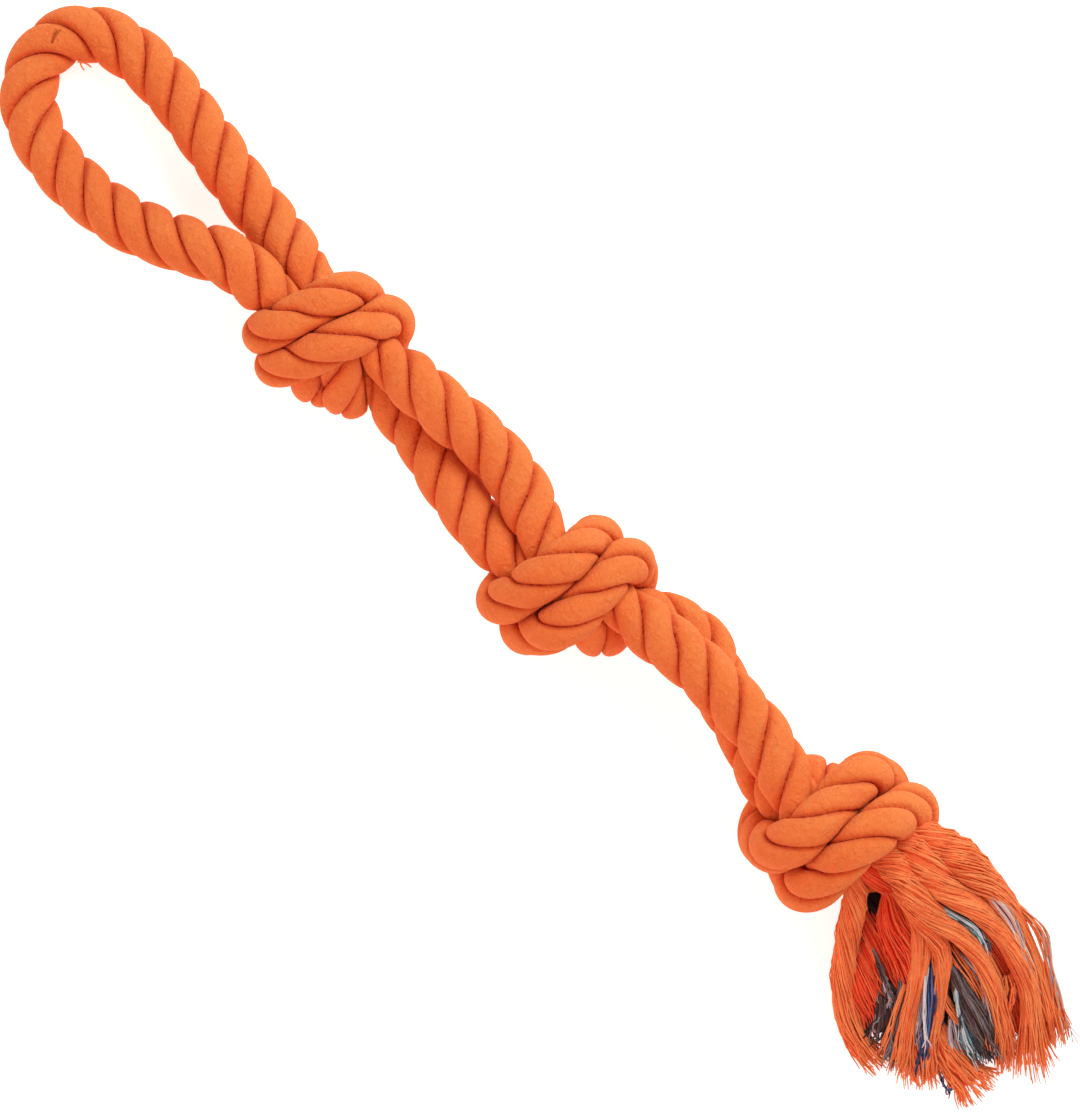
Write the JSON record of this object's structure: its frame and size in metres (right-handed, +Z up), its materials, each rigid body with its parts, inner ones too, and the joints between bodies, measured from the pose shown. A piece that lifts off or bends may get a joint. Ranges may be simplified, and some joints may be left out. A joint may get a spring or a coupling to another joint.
{
  "type": "rope tug toy",
  "caption": "Knotted rope tug toy for dogs: doubled three-strand cotton rope with a handle loop, overhand knots and a frayed tassel.",
  "frame": {"origin": "under the middle of the toy's outline, on the floor that it lies on", "axes": "+X from the handle loop to the tassel, +Z up; the toy lies flat as pictured from above"},
  "size_m": [0.5046, 0.0822, 0.0622],
  "materials": {
    "rope": "orange three-strand laid cotton rope, matt",
    "cover_yarn": "loose orange cotton yarn, matt",
    "blue_yarn": "loose navy and blue core yarn, matt",
    "grey_yarn": "loose light blue grey core yarn, matt",
    "charcoal_yarn": "loose charcoal core yarn, matt",
    "pale_yarn": "loose pale core yarn, matt"
  },
  "bodies": {
    "middle_knot": {"knot_2_leg_a": "rope", "knot_2_leg_b": "rope", "stretch_1_leg_a": "rope", "stretch_1_leg_b": "rope", "stretch_2_leg_a": "rope", "stretch_2_leg_b": "rope"},
    "loop_knot": {"knot_1_leg_a": "rope", "knot_1_leg_b": "rope", "neck_leg_a": "rope", "neck_leg_b": "rope"},
    "handle": {"handle_loop": "rope"},
    "tassel_knot": {"knot_3_leg_a": "rope", "knot_3_leg_b": "rope", "rope_end_a": "rope", "rope_end_b": "rope"},
    "tassel": {"cover_lock_a1": "cover_yarn", "cover_lock_a2": "cover_yarn", "cover_lock_a3": "cover_yarn", "cover_lock_b1": "cover_yarn", "cover_lock_b2": "cover_yarn", "cover_lock_b3": "cover_yarn", "core_lock_1": "blue_yarn", "core_lock_2": "grey_yarn", "core_lock_3": "charcoal_yarn", "core_lock_4": "pale_yarn"}
  },
  "joints": [
    {"name": "stretch_1_bend", "type": "hinge", "parent": "middle_knot", "child": "loop_knot", "pos_m": [-0.04273, 0.00784, 0.028], "axis": [0, 0, 1], "range_deg": [-25, 25], "deforming": ["stretch_1_leg_a", "stretch_1_leg_b"]},
    {"name": "neck_bend", "type": "hinge", "parent": "loop_knot", "child": "handle", "pos_m": [-0.14549, 0.00681, 0.024], "axis": [0, 0, 1], "range_deg": [-25, 25], "deforming": ["neck_leg_a", "neck_leg_b"]},
    {"name": "stretch_2_bend", "type": "hinge", "parent": "middle_knot", "child": "tassel_knot", "pos_m": [0.07865, 0.01474, 0.032], "axis": [0, 0, 1], "range_deg": [-25, 25], "deforming": ["stretch_2_leg_a", "stretch_2_leg_b"]},
    {"name": "tassel_bend", "type": "hinge", "parent": "tassel_knot", "child": "tassel", "pos_m": [0.17106, 0.00957, 0.034], "axis": [0, 0, 1], "range_deg": [-15, 15], "deforming": ["rope_end_a", "rope_end_b"]}
  ]
}
